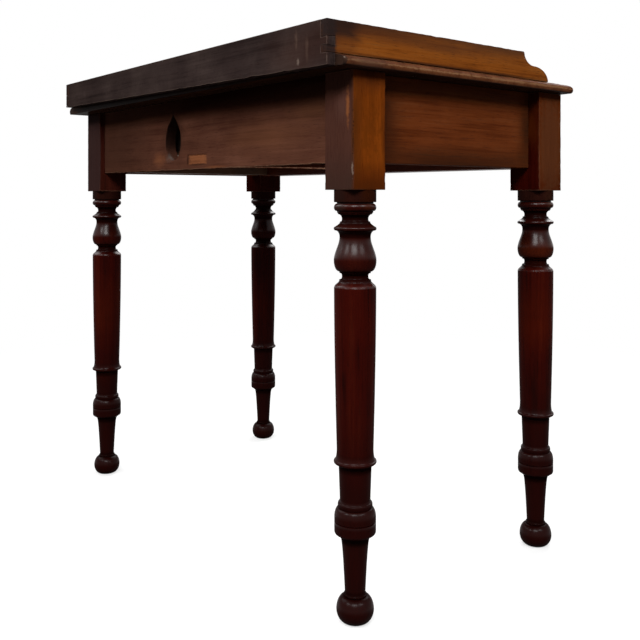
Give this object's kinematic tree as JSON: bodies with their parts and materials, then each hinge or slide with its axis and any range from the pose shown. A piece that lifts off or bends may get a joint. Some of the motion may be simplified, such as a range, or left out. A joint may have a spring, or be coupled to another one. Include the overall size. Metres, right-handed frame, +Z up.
{
  "type": "writing table",
  "caption": "Mahogany writing table on turned legs with ball feet, a low gallery with scrolled ends, a thumb-moulded top and a frieze drawer that slides out at the front.",
  "frame": {"origin": "middle of the bounding box, on the floor", "axes": "+X along the table's length to the right as seen from the front, +Y to the back, +Z up"},
  "size_m": [0.863, 0.5184, 0.7904],
  "materials": {
    "polished_mahogany": "dark red-brown mahogany, worn French polish",
    "end_mahogany": "warm brown mahogany, worn satin polish",
    "back_mahogany": "dull brown mahogany, unpolished and dirty",
    "dark_board": "blackened mahogany back, dull",
    "lining_pine": "bare aged pine",
    "iron": "dark iron screws and nails"
  },
  "bodies": {
    "table": {"leg_back_left": "polished_mahogany", "leg_back_right": "polished_mahogany", "leg_front_left": "polished_mahogany", "leg_front_right": "polished_mahogany", "back_rail": "back_mahogany", "end_rail_left": "end_mahogany", "end_rail_right": "end_mahogany", "front_top_rail": "polished_mahogany", "front_bottom_rail": "polished_mahogany", "table_top": "polished_mahogany", "gallery_back": "dark_board", "gallery_side_left": "end_mahogany", "gallery_side_right": "end_mahogany", "drawer_runner_left": "lining_pine", "drawer_runner_right": "lining_pine", "drawer_guide_left": "lining_pine", "drawer_guide_right": "lining_pine", "drawer_kicker_left": "lining_pine", "drawer_kicker_right": "lining_pine", "drawer_stop_left": "lining_pine", "drawer_stop_right": "lining_pine", "glue_block_1": "lining_pine", "glue_block_2": "lining_pine", "glue_block_3": "lining_pine", "glue_block_4": "lining_pine", "front_rail_screw_1": "iron", "front_rail_screw_2": "iron", "front_rail_screw_3": "iron", "kicker_screw_left_1": "iron", "kicker_screw_left_2": "iron", "kicker_screw_right_1": "iron", "kicker_screw_right_2": "iron", "gallery_screw_left_1": "iron", "gallery_screw_left_2": "iron", "gallery_screw_right_1": "iron", "gallery_screw_right_2": "iron", "gallery_nail_1": "iron", "gallery_nail_2": "iron", "gallery_nail_3": "iron", "gallery_nail_4": "iron"},
    "drawer": {"drawer_front": "polished_mahogany", "drawer_side_left": "lining_pine", "drawer_side_right": "lining_pine", "drawer_back": "lining_pine", "drawer_bottom_left": "lining_pine", "drawer_bottom_right": "lining_pine", "drawer_muntin": "lining_pine", "drawer_slip_left": "lining_pine", "drawer_slip_right": "lining_pine", "drawer_knob_left": "polished_mahogany", "drawer_knob_right": "polished_mahogany"}
  },
  "joints": [
    {"name": "drawer_slide", "type": "slide", "parent": "table", "child": "drawer", "axis": [0, -1, 0], "range_m": [0, 0.3]}
  ]
}
